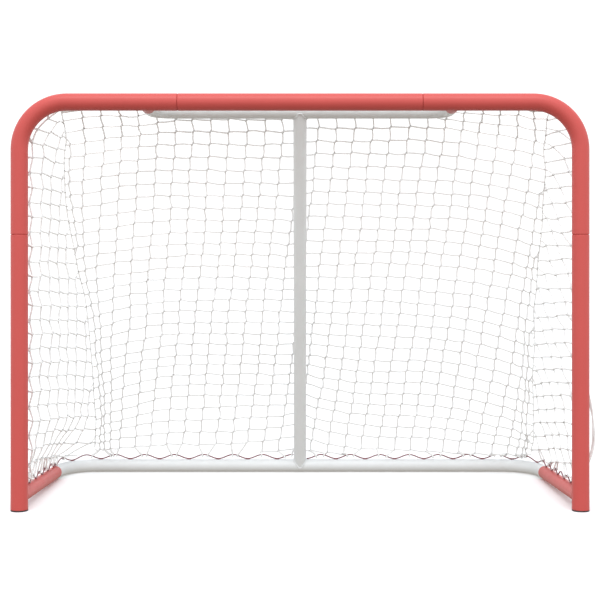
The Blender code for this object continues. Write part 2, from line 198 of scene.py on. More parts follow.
class Skin:
    """Gathers rings of points into one mesh, with strip coordinates: share round, metres along."""

    def __init__(self):
        self.points, self.quads, self.quad_strips = [], [], []
        self.caps, self.count = [], 0

    def add_rings(self, rings, loop=False, caps=True):
        rings = np.asarray(rings, float)
        stations, sides = rings.shape[:2]
        index = self.count + np.arange(stations * sides).reshape(stations, sides)
        lower = index if loop else index[:-1]
        upper = np.roll(index, -1, axis=0) if loop else index[1:]
        quads = [lower, np.roll(lower, -1, axis=1), np.roll(upper, -1, axis=1), upper]
        self.quads.append(np.stack(quads, axis=-1).reshape(-1, 4))
        middle = rings.mean(axis=1)
        steps = np.linalg.norm(np.roll(middle, -1, axis=0) - middle, axis=1)
        along = np.concatenate([[0], np.cumsum(steps)])
        v_low, v_high = along[: len(lower)], along[1 : len(lower) + 1]
        u_low = np.arange(sides) / sides
        strip = np.empty((len(lower), sides, 4, 2))
        strip[..., 0, 0] = strip[..., 3, 0] = u_low
        strip[..., 1, 0] = strip[..., 2, 0] = u_low + 1 / sides
        strip[..., 0, 1] = strip[..., 1, 1] = v_low[:, None]
        strip[..., 2, 1] = strip[..., 3, 1] = v_high[:, None]
        self.quad_strips.append(strip.reshape(-1, 2))
        if caps and not loop:
            self.caps += [index[0][::-1].tolist(), index[-1].tolist()]
        self.points.append(rings.reshape(-1, 3))
        self.count += stations * sides

    def add_line(self, path, radii, sides, closed=False, tips=False):
        """A round strand along a path, with rounded or flat tips."""
        path, along, across, other = line_frames(path, closed)
        radii = np.broadcast_to(np.asarray(radii, float), (len(path),))[:, None, None]
        cos, sin = ring_angles(sides)
        rings = path[:, None] + radii * (across[:, None] * cos + other[:, None] * sin)
        if tips and not closed:
            first, last = rings[0], rings[-1]
            starts = self._tip(path[0], -along[0], first, radii[0, 0, 0])
            ends = self._tip(path[-1], along[-1], last, radii[-1, 0, 0])
            rings = np.concatenate([starts[::-1], rings, ends])
        self.add_rings(rings, loop=closed)

    @staticmethod
    def _tip(center, direction, ring, radius):
        return [
            center + (ring - center) * size + direction * radius * reach for size, reach in TIP_STEPS
        ]

    def mesh(self, name):
        mesh = bpy.data.meshes.new(name)
        faces = np.concatenate(self.quads).tolist() + self.caps
        mesh.from_pydata(np.concatenate(self.points).tolist(), [], faces)
        return mesh

    def build(self, name, slot, replaced=(), crease=None):
        """Make the object and hang it on the frame."""
        mesh = self.mesh(name)
        strips = mesh.uv_layers.new(name="strip")
        values = np.zeros((len(mesh.loops), 2), np.float32)
        flat = np.concatenate(self.quad_strips)
        values[: len(flat)] = flat
        strips.data.foreach_set("uv", values.ravel())
        mesh.shade_smooth()
        weld_close_points(mesh)
        if crease:
            mesh.set_sharp_from_angle(angle=math.radians(crease))
        mesh.materials.append(MATERIALS[slot])
        hang(add_object(name, mesh), slot, replaced)


def weld_close_points(mesh):
    """Join the points that a turned shape has on its axis."""
    shell = bmesh.new()
    shell.from_mesh(mesh)
    bmesh.ops.remove_doubles(shell, verts=shell.verts, dist=1e-6)
    shell.to_mesh(mesh)
    shell.free()


def hang(obj, slot, replaced=()):
    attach(obj, "root")
    if replaced:
        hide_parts(*replaced)


# Materials. Bump distances are metres.

RED_COLOR = (0.555, 0.082, 0.073)
WHITE_COLOR = (0.72, 0.74, 0.745)
WINE_COLOR = (0.20, 0.045, 0.055)
TWINE_COLOR = (0.94, 0.94, 0.935)
# The twine's colour low down, and the heights between which it fades in: painted shade, darker towards
# the floor
LOW_SHADE_COLOR = (0.83, 0.83, 0.82)
SHADED_BELOW, UNSHADED_ABOVE = 0.35, 0.95
TWINE_GLOW = 0.004
TWIST_PITCH = 0.011
TWIST_STRANDS = 3
GROOVE_SHADE = 0.95
MIX_FACTOR, MIX_FIRST, MIX_SECOND, MIX_RESULT = 0, 6, 7, 2
PEEL_SCALE, PEEL_DEPTH = 420.0, 0.0004
PIMPLE_SCALE, PIMPLE_DEPTH = 2600.0, 0.0001
CAP_COLOR = (0.028, 0.028, 0.03)
ZINC_COLOR = (0.66, 0.66, 0.63)
ZINC_DULL, ZINC_BRIGHT = (0.58, 0.58, 0.56), (0.74, 0.73, 0.67)


class Paint:
    """A Principled material and the nodes that vary it."""

    def __init__(self, name, color, roughness, **constants):
        self.material = bpy.data.materials.new(name)
        self.material.use_nodes = True
        self.tree = self.material.node_tree
        self.shader = self.tree.nodes["Principled BSDF"]
        self.shader.inputs["Base Color"].default_value = (*color, 1)
        self.shader.inputs["Roughness"].default_value = roughness
        for socket, value in constants.items():
            self.shader.inputs[socket.replace("_", " ")].default_value = value
        self.place = self.node("ShaderNodeTexCoord").outputs["Object"]

    def node(self, kind, **settings):
        node = self.tree.nodes.new(kind)
        for key, value in settings.items():
            if key in node.inputs:
                node.inputs[key].default_value = value
            else:
                setattr(node, key, value)
        return node

    def link(self, output, node, socket):
        self.tree.links.new(output, node.inputs[socket])

    def noise(self, scale, detail=3.0):
        texture = self.node("ShaderNodeTexNoise", Scale=scale, Detail=detail)
        self.link(self.place, texture, "Vector")
        return texture.outputs["Fac"]

    def math(self, operation, *values):
        """A Math node, on outputs of other nodes and plain numbers."""
        result = self.node("ShaderNodeMath", operation=operation)
        for socket, value in enumerate(values):
            if isinstance(value, bpy.types.NodeSocket):
                self.link(value, result, socket)
            else:
                result.inputs[socket].default_value = value
        return result.outputs[0]

    def split(self, vector):
        parts = self.node("ShaderNodeSeparateXYZ")
        self.link(vector, parts, "Vector")
        return parts.outputs

    def ramp(self, value, **ends):
        mapped = self.node("ShaderNodeMapRange", **ends)
        self.link(value, mapped, "Value")
        return mapped.outputs["Result"]

    def blend_colors(self, value, first, second):
        colors = self.node("ShaderNodeValToRGB")
        colors.color_ramp.elements[0].color = (*first, 1)
        colors.color_ramp.elements[1].color = (*second, 1)
        self.link(value, colors, "Fac")
        return colors.outputs["Color"]

    def tint(self, color):
        self.link(color, self.shader, "Base Color")

    def dull(self, value, low, high):
        """Vary the roughness between two values."""
        self.link(self.ramp(value, **{"To Min": low, "To Max": high}), self.shader, "Roughness")

    def emboss(self, height, strength, distance):
        """Add a bump over those that the material has."""
        bump = self.node("ShaderNodeBump", Strength=strength, Distance=distance)
        self.link(height, bump, "Height")
        for link in self.shader.inputs["Normal"].links:
            self.link(link.from_socket, bump, "Normal")
        self.link(bump.outputs["Normal"], self.shader, "Normal")


def shade(color, factor):
    return tuple(min(1.0, channel * factor) for channel in color)


def powder_coat(name, color, roughness, coat, specular=0.5):
    """Powder coat: the orange peel of the melted film, fine pimples and dull patches."""
    looks = {"Coat_Weight": coat, "Coat_Roughness": 0.18, "Specular_IOR_Level": specular}
    paint = Paint(name, color, roughness, **looks)
    patches = paint.noise(9.0, 4.0)
    paint.tint(paint.blend_colors(patches, shade(color, 0.96), shade(color, 1.04)))
    paint.dull(paint.noise(34.0, 5.0), roughness - 0.07, roughness + 0.07)
    paint.emboss(paint.noise(PEEL_SCALE, 2.0), 0.16, PEEL_DEPTH)
    paint.emboss(paint.noise(PIMPLE_SCALE, 1.0), 0.10, PIMPLE_DEPTH)
    return paint.material


def make_cap_plastic():
    """Moulded black plastic with a spark-eroded grain."""
    paint = Paint("cap_plastic", CAP_COLOR, 0.55)
    paint.tint(paint.blend_colors(paint.noise(60.0), shade(CAP_COLOR, 0.8), shade(CAP_COLOR, 1.4)))
    paint.dull(paint.noise(300.0), 0.45, 0.65)
    paint.emboss(paint.noise(1800.0, 4.0), 0.3, 0.0002)
    return paint.material


def make_zinc():
    """Bright zinc plating with a faint yellow passivation and fine drawing lines."""
    paint = Paint("screw_zinc", ZINC_COLOR, 0.3, Metallic=1.0)
    paint.tint(paint.blend_colors(paint.noise(180.0, 4.0), ZINC_DULL, ZINC_BRIGHT))
    paint.dull(paint.noise(700.0, 4.0), 0.22, 0.42)
    paint.emboss(paint.noise(2400.0, 3.0), 0.15, 0.0001)
    return paint.material


def make_twine():
    """White twisted twine: strands that wind round each other, fuzz, and painted shade that darkens it
    towards the floor.
    """
    looks = {"Sheen_Weight": 0.5, "Sheen_Roughness": 0.5, "Subsurface_Weight": 1.0}
    looks.update(Subsurface_Radius=(1, 1, 1), Subsurface_Scale=TWINE_GLOW)
    paint = Paint("net_twine", TWINE_COLOR, 0.85, **looks)
    strip = paint.split(paint.node("ShaderNodeUVMap", uv_map="strip").outputs["UV"])
    turns = paint.math("ADD", strip["X"], paint.math("MULTIPLY", strip["Y"], 1 / TWIST_PITCH))
    wave = paint.math("SINE", paint.math("MULTIPLY", turns, TWIST_STRANDS * math.pi))
    ridge = paint.math("ABSOLUTE", wave)
    # The twine fades to a darker colour towards the floor: painted shade
    height = paint.split(paint.place)["Z"]
    unshaded_share = paint.ramp(height, **{"From Min": SHADED_BELOW, "From Max": UNSHADED_ABOVE})
    tone = paint.node("ShaderNodeMix", data_type="RGBA")
    paint.link(unshaded_share, tone, MIX_FACTOR)
    # Each colour is darkened a little in the grooves between the twisted strands: painted shade
    for socket, color in ((MIX_FIRST, LOW_SHADE_COLOR), (MIX_SECOND, TWINE_COLOR)):
        paint.link(paint.blend_colors(ridge, shade(color, GROOVE_SHADE), color), tone, socket)
    paint.tint(tone.outputs[MIX_RESULT])
    paint.dull(paint.noise(900.0), 0.78, 0.95)
    paint.emboss(paint.noise(3200.0, 3.0), 0.15, 0.0001)
    paint.emboss(ridge, 0.3, 0.0003)
    return paint.material


MATERIALS = {
    "red_paint": powder_coat("red_paint", RED_COLOR, 0.42, 0.08, specular=0.3),
    "white_paint": powder_coat("white_paint", WHITE_COLOR, 0.42, 0.2),
    "rod_paint": powder_coat("rod_paint", WINE_COLOR, 0.38, 0.2),
    "cap_plastic": make_cap_plastic(),
    "screw_zinc": make_zinc(),
    "net_twine": make_twine(),
}


# Hollow tubes

WELD_R = 0.0021
WELD_PITCH = 0.0026
WELD_INSET = WELD_R * 0.35
WELD_SIDES = 12
PUDDLE_SWELL = 0.08
SEAM_EDGE = 0.0004
TUBE_CREASE = 50


def reach_to_cylinder(ring, direction, cylinder):
    """How far to go back from each point to come out of a cylinder (point, direction, radius)."""
    center, axis, radius = cylinder
    back = -np.asarray(direction, float)
    offset = ring - center
    offset = offset - (offset @ axis)[:, None] * axis
    level = back - back.dot(axis) * axis
    a = level.dot(level)
    b = offset @ level
    c = (offset * offset).sum(axis=1) - radius * radius
    return (-b + np.sqrt(np.maximum(b * b - a * c, 0))) / a


def station(frames, index, radius, outwards=0, shift=0.0, trim=None):
    """A ring at a point of a path, moved along it by a shift, or ended on another tube."""
    path, along, across, other = frames
    cos, sin = ring_angles(TUBE_SIDES)
    ring = path[index] + radius * (cos * across[index] + sin * other[index])
    direction = along[index] * outwards
    if trim is not None:
        ring = ring - direction * (reach_to_cylinder(ring, direction, trim) + GAP)[:, None]
    return ring + direction * shift


OUTER_LIP = ((0, -LIP - SUPPORT), (0, -LIP), (-LIP * 0.3, -LIP * 0.3), (-LIP, 0))
INNER_LIP = ((-WALL + LIP * 0.5, 0), (-WALL, -LIP * 0.5), (-WALL, -LIP - SUPPORT))


def add_hollow_tube(skin, path, outer, trims=(None, None)):
    """A tube with a bore from end to end and rounded lips."""
    frames = line_frames(path)
    last = len(path) - 1

    def lip(index, profile):
        outwards, trim = (-1, trims[0]) if index == 0 else (1, trims[1])
        radius = outer[index]
        return [station(frames, index, radius + r, outwards, shift, trim) for r, shift in profile]

    rings = lip(0, OUTER_LIP[::-1])
    rings += [station(frames, index, outer[index]) for index in range(1, last)]
    rings += lip(last, OUTER_LIP) + lip(last, INNER_LIP)
    rings += [station(frames, index, outer[index] - WALL) for index in range(last - 1, 0, -1)]
    rings += lip(0, INNER_LIP[::-1])
    skin.add_rings(np.array(rings), loop=True)


def make_tube(node, path, outer, slot, trims=(None, None)):
    skin = Skin()
    add_hollow_tube(skin, np.array(path), outer, trims)
    skin.build(f"{node}_visual", slot, (node,), crease=TUBE_CREASE)


def add_weld(skin, path, radius, end, cylinder):
    """A bead of weld, in overlapping puddles, round the end of a tube that meets another."""
    frames = line_frames(np.array(path))
    index, outwards = (0, -1) if end == 0 else (len(path) - 1, 1)
    bead = station(frames, index, radius + WELD_INSET, outwards, -WELD_INSET, cylinder)
    bead = smooth_closed(bead, 5)
    puddles = round(2 * math.pi * radius / WELD_PITCH)
    phase = 2 * math.pi * puddles * np.arange(len(bead)) / len(bead)
    skin.add_line(bead, WELD_R * (1 + PUDDLE_SWELL * np.cos(phase)), WELD_SIDES, closed=True)


def smooth_closed(ring, steps):
    doubled = np.vstack([ring[-1:], ring, ring[:2]])
    curve = smooth_line(doubled, steps)
    return curve[steps : steps * (len(ring) + 1)]


def quarter(center, from_direction, to_direction, radius):
    turn = np.linspace(0, math.pi / 2, BEND_STEPS + 1)[:, None]
    return list(center + radius * (from_direction * np.cos(turn) + to_direction * np.sin(turn)))


def with_spigot(path, outer):
    """End a tube in a narrowed spigot that plugs into the next tube."""
    direction = unit(path[-1] - path[-2])
    seam, full = path[-1], outer[-1]
    narrow = full - WALL - GAP
    path = path[:-1] + [
        seam - direction * (SHOULDER + SUPPORT),
        seam - direction * SHOULDER,
        seam - direction * (SHOULDER - SEAM_EDGE),
        seam - direction * SEAM_EDGE,
        seam,
        seam + direction * SPIGOT,
    ]
    shoulder = [full, full, full - SEAM_EDGE, narrow + SEAM_EDGE]
    return path, outer[:-1] + shoulder + [narrow, narrow]


def rail_height(depth):
    bend_depth = GROUND_DEPTH - GROUND_BEND
    return RAIL_FRONT_Z + (BAR_R - RAIL_FRONT_Z) * depth / bend_depth


def mirrored(path, outer):
    """Add the left half to a path and its radii, which start on the middle plane."""
    flip = np.array((-1.0, 1.0, 1.0))
    path = [point * flip for point in reversed(path[1:])] + path
    return path, outer[:0:-1] + outer


def make_front_frame():
    for side, side_name in SIDES.items():
        foot_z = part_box(f"{side_name}_post")[0].z
        path = [at(side * POST_X, 0, foot_z), at(side * POST_X, 0, POST_SEAM_Z)]
        make_tube(f"{side_name}_post", *with_spigot(path, [POST_R, POST_R]), "red_paint")
        center = at(side * (POST_X - CORNER_BEND), 0, CROSSBAR_Z - CORNER_BEND)
        path = [at(side * POST_X, 0, POST_SEAM_Z + GAP)]
        path += quarter(center, outward(side), UP, CORNER_BEND)
        path.append(at(side * (CROSSBAR_SEAM_X + GAP), 0, CROSSBAR_Z))
        make_tube(f"{side_name}_corner_tube", path, [POST_R] * len(path), "red_paint")
    half = [at(0, 0, CROSSBAR_Z), at(CROSSBAR_SEAM_X, 0, CROSSBAR_Z)]
    path, outer = mirrored(*with_spigot(half, [POST_R, POST_R]))
    make_tube("crossbar_tube", path, outer, "red_paint")


def make_bent_bar(node, x, depth, z, bend, end):
    """A white bar across the goal with a bend and a spigot at each side."""
    half = [at(0, depth, z)]
    half += quarter(at(x - bend, depth - bend, z), BACK, outward(RIGHT), bend)
    half.append(end)
    path, outer = mirrored(*with_spigot(half, [BAR_R] * len(half)))
    make_tube(node, path, outer, "white_paint")


def make_welded_tube(node, weld, path, slot, trunks):
    """A straight tube with a weld at each end that meets another tube."""
    make_tube(node, path, [BAR_R] * 2, slot, trunks)
    skin = Skin()
    for end, trunk in enumerate(trunks):
        if trunk is not None:
            add_weld(skin, path, BAR_R, end, trunk)
    skin.build(weld, slot)


def make_rear_frame():
    end = at(POST_X, RAIL_SEAM_DEPTH, rail_height(RAIL_SEAM_DEPTH))
    make_bent_bar("ground_bar", POST_X, GROUND_DEPTH, BAR_R, GROUND_BEND, end)
    for side, side_name in SIDES.items():
        path = [at(side * POST_X, depth, rail_height(depth)) for depth in (0, RAIL_SEAM_DEPTH - GAP)]
        trunks = (at(side * POST_X, 0, 0), UP, POST_R), None
        make_welded_tube(f"{side_name}_side_rail", f"{side_name}_rail_weld", path, "red_paint", trunks)
    end = at(SHELF_LEG_X, SHELF_SEAM_DEPTH, CROSSBAR_Z)
    make_bent_bar("shelf_bar", SHELF_LEG_X, SHELF_DEPTH, CROSSBAR_Z, SHELF_BEND, end)
    for side, side_name in SIDES.items():
        path = [at(side * SHELF_LEG_X, depth, CROSSBAR_Z) for depth in (0, SHELF_SEAM_DEPTH - GAP)]
        trunks = (at(0, 0, CROSSBAR_Z), outward(RIGHT), POST_R), None
        make_welded_tube(f"{side_name}_shelf_stub", f"{side_name}_stub_weld", path, "red_paint", trunks)
    path = [at(0, SHELF_DEPTH, CROSSBAR_Z), at(0, GROUND_DEPTH, BAR_R)]
    trunks = [(point, outward(RIGHT), BAR_R) for point in path]
    make_welded_tube("center_post", "center_post_welds", path, "white_paint", trunks)


# Turned pieces

CAP_FLANGE = 0.0035
CAP_SKIRT = 0.018
CAP_STEPS = 64
CAP_CREASE = 40

SCREW_HEAD_R = 0.0041
SCREW_HEAD_HEIGHT = 0.0024
SCREW_SHANK_R = 0.0021
SCREW_LENGTH = 0.012
SCREW_STEPS = 32
SCREW_CREASE = 35
THREAD_PITCH = 0.0012
THREAD_ROOT_SHARE = 0.78
CROSS_LENGTH, CROSS_WIDTH, CROSS_HEIGHT = 0.0046, 0.00085, 0.0032
CROSS_TAPER = 0.45


def lathe(skin, outline, steps, place=None):
    """A turned surface from (radius, height) pairs, from the bottom up its outside to the top."""
    cos, sin = ring_angles(steps)
    ring = np.concatenate([cos, sin, 0 * cos], axis=1)
    rings = np.array([ring * radius + (0, 0, height) for radius, height in outline])
    if place is not None:
        rings = rings @ np.array(place.to_3x3()).T + np.array(place.translation)
    skin.add_rings(rings, caps=False)


def make_foot_caps():
    """Plugs for the feet: a flange with a rounded rim, a hollow underside and a gripping skirt."""
    skirt_r = POST_R - WALL - GAP
    top = CAP_FLANGE + CAP_SKIRT
    for side, side_name in SIDES.items():
        outline = [
            (0, 0.0009),
            (POST_R * 0.55, 0.0009),
            (POST_R * 0.60, 0.0001),
            (POST_R * 0.62, 0),
            (POST_R - 0.0010, 0),
            (POST_R - 0.0005, 0.0002),
            (POST_R - 0.0001, 0.0008),
            (POST_R, 0.0014),
            (POST_R, CAP_FLANGE - 0.0008),
            (POST_R - 0.0002, CAP_FLANGE - 0.0003),
            (POST_R - 0.0008, CAP_FLANGE),
            (skirt_r, CAP_FLANGE),
            (skirt_r - 0.0004, CAP_FLANGE + CAP_SKIRT * 0.9),
            (skirt_r - 0.0010, top),
            (skirt_r - WALL, top),
            (skirt_r - WALL, CAP_FLANGE),
            (0, CAP_FLANGE),
        ]
        skin = Skin()
        lathe(skin, outline, CAP_STEPS, Matrix.Translation(Vector(at(side * POST_X, 0, 0))))
        node = f"{side_name}_foot_cap"
        skin.build(f"{node}_visual", "cap_plastic", (node,), crease=CAP_CREASE)


def cross_cutter(turn):
    """One tapered blade of the driver's cross, as a Boolean cutter."""
    shape = bmesh.new()
    bmesh.ops.create_cube(shape, size=1.0)
    for vertex in shape.verts:
        taper = 1.0 if vertex.co.z > 0 else CROSS_TAPER
        vertex.co.x *= CROSS_LENGTH * taper
        vertex.co.y *= CROSS_WIDTH * (0.6 + 0.4 * taper)
        vertex.co.z = SCREW_HEAD_HEIGHT + vertex.co.z * CROSS_HEIGHT
    bmesh.ops.rotate(shape, verts=shape.verts, matrix=Matrix.Rotation(turn, 3, "Z"))
    mesh = bpy.data.meshes.new("cross_cutter")
    shape.to_mesh(mesh)
    shape.free()
    return add_object("cross_cutter", mesh)


def make_screw_mesh():
    """A pan-head screw with a cross recess and a rolled thread, its head on its own XY plane."""
    crown = [
        (SCREW_HEAD_R * math.cos(a), SCREW_HEAD_HEIGHT * (0.35 + 0.65 * math.sin(a)))
        for a in np.linspace(0, math.pi / 2, 9)
    ]
    outline = [(0, -SCREW_LENGTH), (SCREW_SHANK_R * 0.4, -SCREW_LENGTH + 0.0002)]
    for turn in range(int((SCREW_LENGTH - 0.003) / THREAD_PITCH)):
        bottom = -SCREW_LENGTH + 0.0018 + turn * THREAD_PITCH
        outline.append((SCREW_SHANK_R * THREAD_ROOT_SHARE, bottom))
        outline.append((SCREW_SHANK_R, bottom + THREAD_PITCH * 0.4))
    outline += [(SCREW_SHANK_R * 0.9, -0.0004), (SCREW_SHANK_R, 0)]
    outline += [(SCREW_HEAD_R - 0.0002, 0), (SCREW_HEAD_R, 0.0002)] + crown
    skin = Skin()
    lathe(skin, outline, SCREW_STEPS)
    mesh = skin.mesh("screw")
    weld_close_points(mesh)
    screw = add_object("screw", mesh)
    cutters = [cross_cutter(turn) for turn in (0, math.pi / 2)]
    for cutter in cutters:
        cut = screw.modifiers.new("cut", "BOOLEAN")
        cut.operation = "DIFFERENCE"
        cut.solver = "EXACT"
        cut.object = cutter
    graph = bpy.context.evaluated_depsgraph_get()
    finished = bpy.data.meshes.new_from_object(screw.evaluated_get(graph))
    for obj in [screw, *cutters]:
        bpy.data.objects.remove(obj, do_unlink=True)
    finished.shade_smooth()
    finished.set_sharp_from_angle(angle=math.radians(SCREW_CREASE))
    finished.materials.clear()
    finished.materials.append(MATERIALS["screw_zinc"])
    return finished


def make_screws():
    screw_mesh = make_screw_mesh()
    middle = SPIGOT / 2
    for side, side_name in SIDES.items():
        rail_depth = RAIL_SEAM_DEPTH - middle
        rail = at(side * (POST_X + BAR_R), rail_depth, rail_height(rail_depth))
        shelf = at(side * (SHELF_LEG_X + BAR_R), SHELF_SEAM_DEPTH - middle, CROSSBAR_Z)
        places = {
            "post": (at(side * POST_X, POST_R, POST_SEAM_Z + middle), BACK),
            "crossbar": (at(side * (CROSSBAR_SEAM_X + middle), POST_R, CROSSBAR_Z), BACK),
            "rail": (rail, outward(side)),
            "shelf": (shelf, outward(side)),
        }
        for joint, (surface, direction) in places.items():
            node = f"{side_name}_{joint}_screw"
            screw = add_object(f"{node}_visual", screw_mesh)
            turn = Vector(UP).rotation_difference(Vector(direction)).to_matrix()
            place = Matrix.Translation(Vector(surface + direction * GAP)) @ turn.to_4x4()
            screw.matrix_world = place
            hang(screw, "screw_zinc", (node,))


# Lacing rods

TACK_LENGTH = 0.012
TACK_R = 0.0026
TACK_SIDES = 12
TACK_DROP = ROD_R * 0.75
SHORTEST_TACK = TACK_LENGTH * 0.6
ROD_SAMPLES = 160
CREST_SHARE = 0.55
ROD_END_ROOM = 0.004


def rod_rise(along, period, first_crest):
    """How far a rod stands off the height of its troughs, at a distance along its route."""
    phase = 2 * math.pi * (along - first_crest) / period
    return ROD_WAVE_HEIGHT * (1 + math.cos(phase)) / 2


class Rod:
    """A rod that waves along a route on a tube, standing out along a direction."""

    def __init__(self, place, start, end, normal, tube_r, period, first_crest):
        self.place, self.start, self.end = place, start, end
        self.normal, self.tube_r = normal, tube_r
        self.period, self.first_crest = period, first_crest
        self.samples = np.linspace(start, end, ROD_SAMPLES)
        self.sample_points = np.array([self.point(along) for along in self.samples])

    def point(self, along):
        rise = rod_rise(along, self.period, self.first_crest)
        return self.place(along) + self.normal * (self.tube_r + GAP + ROD_R + rise)

    def troughs(self):
        first = math.ceil((self.start - self.first_crest) / self.period - 0.5)
        along = self.first_crest + (first + 0.5) * self.period
        while along < self.end:
            yield along
            along += self.period

    def gaps(self, point):
        return np.linalg.norm(self.sample_points - point, axis=1)

    def distance(self, point):
        return float(self.gaps(point).min())

    def hold(self, point):
        """Where a tie from a point goes: the nearest place on the rod, but clear of its troughs."""
        nearest = self.samples[int(np.argmin(self.gaps(point)))]
        crest = round((nearest - self.first_crest) / self.period) * self.period + self.first_crest
        along = crest + (nearest - crest) * CREST_SHARE
        return min(max(along, self.start + ROD_END_ROOM), self.end - ROD_END_ROOM)

    def make(self, name):
        skin = Skin()
        count = round((self.end - self.start) / self.period * ROD_POINTS_PER_WAVE)
        path = [self.point(along) for along in np.linspace(self.start, self.end, count)]
        skin.add_line(path, ROD_R, ROD_SIDES, tips=True)
        for along in self.troughs():
            self.add_tack(skin, along)
        skin.build(f"{name}_visual", "rod_paint", (name,))

    def add_tack(self, skin, along):
        """A tack weld where a trough meets the tube: a low mound that runs along the rod."""
        reach = TACK_LENGTH / 2
        low, high = max(self.start, along - reach), min(self.end, along + reach)
        if high - low < SHORTEST_TACK:
            return
        steps = np.linspace(0, 1, 9)
        path = [self.point(low + (high - low) * t) - self.normal * TACK_DROP for t in steps]
        radii = 0.0004 + TACK_R * np.sqrt(np.sin(math.pi * np.clip(steps, 0.02, 0.98)))
        skin.add_line(path, radii, TACK_SIDES, tips=True)


def straight(start, end):
    """A route between two points, and its length."""
    direction = unit(end - start)
    return lambda along: start + direction * along, float(np.linalg.norm(end - start))


def along_ground_bar(distance):
    """The point of the ground bar's axis at a distance from its middle, negative to the left."""
    side = side_of(distance)
    reach = abs(distance)
    flat = POST_X - GROUND_BEND
    bend_length = GROUND_BEND * math.pi / 2
    bend_depth = GROUND_DEPTH - GROUND_BEND
    if reach <= flat:
        return at(distance, GROUND_DEPTH, BAR_R)
    if reach <= flat + bend_length:
        angle = (reach - flat) / GROUND_BEND
        x = side * (flat + GROUND_BEND * math.sin(angle))
        return at(x, bend_depth + GROUND_BEND * math.cos(angle), BAR_R)
    depth = bend_depth - (reach - flat - bend_length)
    return at(side * POST_X, depth, rail_height(depth))


def along_corner(side):
    """A corner tube's axis, by distance from the start of its rod, just above the post's joint."""
    leg_end = CROSSBAR_Z - CORNER_BEND
    leg = leg_end - POST_SEAM_Z - ROD_TO_JOINT
    bend_x = POST_X - CORNER_BEND

    def place(along):
        if along <= leg:
            return at(side * POST_X, 0, leg_end - leg + along)
        turned_by = (along - leg) / CORNER_BEND
        if turned_by <= math.pi / 2:
            x = bend_x + CORNER_BEND * math.cos(turned_by)
            return at(side * x, 0, leg_end + CORNER_BEND * math.sin(turned_by))
        return at(side * (bend_x - along + leg + CORNER_BEND * math.pi / 2), 0, CROSSBAR_Z)

    return place, leg


def make_rods():
    """Every lacing rod, by its place."""
    rods = {}
    bend_end = POST_X - GROUND_BEND + GROUND_BEND * math.pi / 2
    far = bend_end + GROUND_DEPTH - GROUND_BEND - RAIL_SEAM_DEPTH - ROD_TO_TUBE
    near = BAR_R + ROD_TO_TUBE
    crossbar_reach = CROSSBAR_SEAM_X - CROSSBAR_ROD_TO_SEAM
    arm = POST_X - CORNER_BEND - SHELF_LEG_X - BAR_R - CORNER_ROD_TO_STUB
    for side, side_name in SIDES.items():
        start, end = (near, far) if side == RIGHT else (-far, -near)
        rods[f"{side_name}_ground"] = Rod(
            along_ground_bar, start, end, UP, BAR_R, GROUND_WAVE, GROUND_FIRST_CREST
        )
        depths = (POST_R + RAIL_ROD_TO_POST, RAIL_SEAM_DEPTH - ROD_TO_TUBE)
        route, length = straight(*(at(side * POST_X, depth, rail_height(depth)) for depth in depths))
        rods[f"{side_name}_rail"] = Rod(
            route, 0, length, UP, BAR_R, RAIL_WAVE, length + RAIL_CREST_PAST_END
        )
        heights = (RAIL_FRONT_Z + BAR_R + POST_ROD_TO_RAIL, POST_SEAM_Z - POST_ROD_TO_SEAM)
        route, length = straight(*(at(side * POST_X, 0, height) for height in heights))
        rods[f"{side_name}_post"] = Rod(route, 0, length, BACK, POST_R, FRAME_WAVE, 0)
        route, leg = along_corner(side)
        length = leg + CORNER_BEND * math.pi / 2 + arm
        rods[f"{side_name}_corner"] = Rod(route, 0, length, BACK, POST_R, FRAME_WAVE, 0)
    route, length = straight(*(at(side * crossbar_reach, 0, CROSSBAR_Z) for side in SIDES))
    rods["crossbar"] = Rod(route, 0, length, BACK, POST_R, FRAME_WAVE, crossbar_reach)
    for name, rod in rods.items():
        rod.make(f"{name}_lacing_rod")
    return rods


make_front_frame()
make_rear_frame()
make_foot_caps()
make_screws()
RODS = make_rods()

# The net: its panels

NET_SEED = 7
KNOT_SCALE = 0.0006
KNOT_R = 0.0017
KNOT_POINTS = 15
KNOT_SIDES = 5
PINWHEEL = 0.0018
KNOT_REACH = 0.0027
LAYER = 0.0008
SLACK = 0.0011

SHELF_ROW = 7
LAST_ROW = 35
SHORT_ROW_REACH = 0.15
BACK_COLUMNS = range(-14, 21)
COLUMN_PITCH = 0.0534
FIRST_COLUMN_X = -0.0505
COLUMN_LEAN, COLUMN_LEAN_GROWTH = 0.10, 0.029
CROWD_WIDTH, CROWD_WIDTH_GROWTH = 0.03, 0.08
CROWDED_ROWS = (0, 0.02, 0.04, 0.07, 0.10, 0.30, 0.62, 1)
FOLD_CLEARANCE = 0.011
FOLD_JOIN_SHARE = 0.6
LOWEST_TWINE_Z = 0.060
ROD_EDGE_DEPTH = 0.045
ROD_EDGE_DROP = 0.004
FRONT_SHRINK = 0.957
UNSUPPORTED_X = (0.456, 0.54)
BACK_WANDER = (5.0, 0.006)
BACK_STRAY = 0.0012
EDGE_ROW_SHIFT = 0.3
CENTER_POST_REACH = 0.05

# How the back panel hangs, by row: heights at the centre post, and what is taken off them

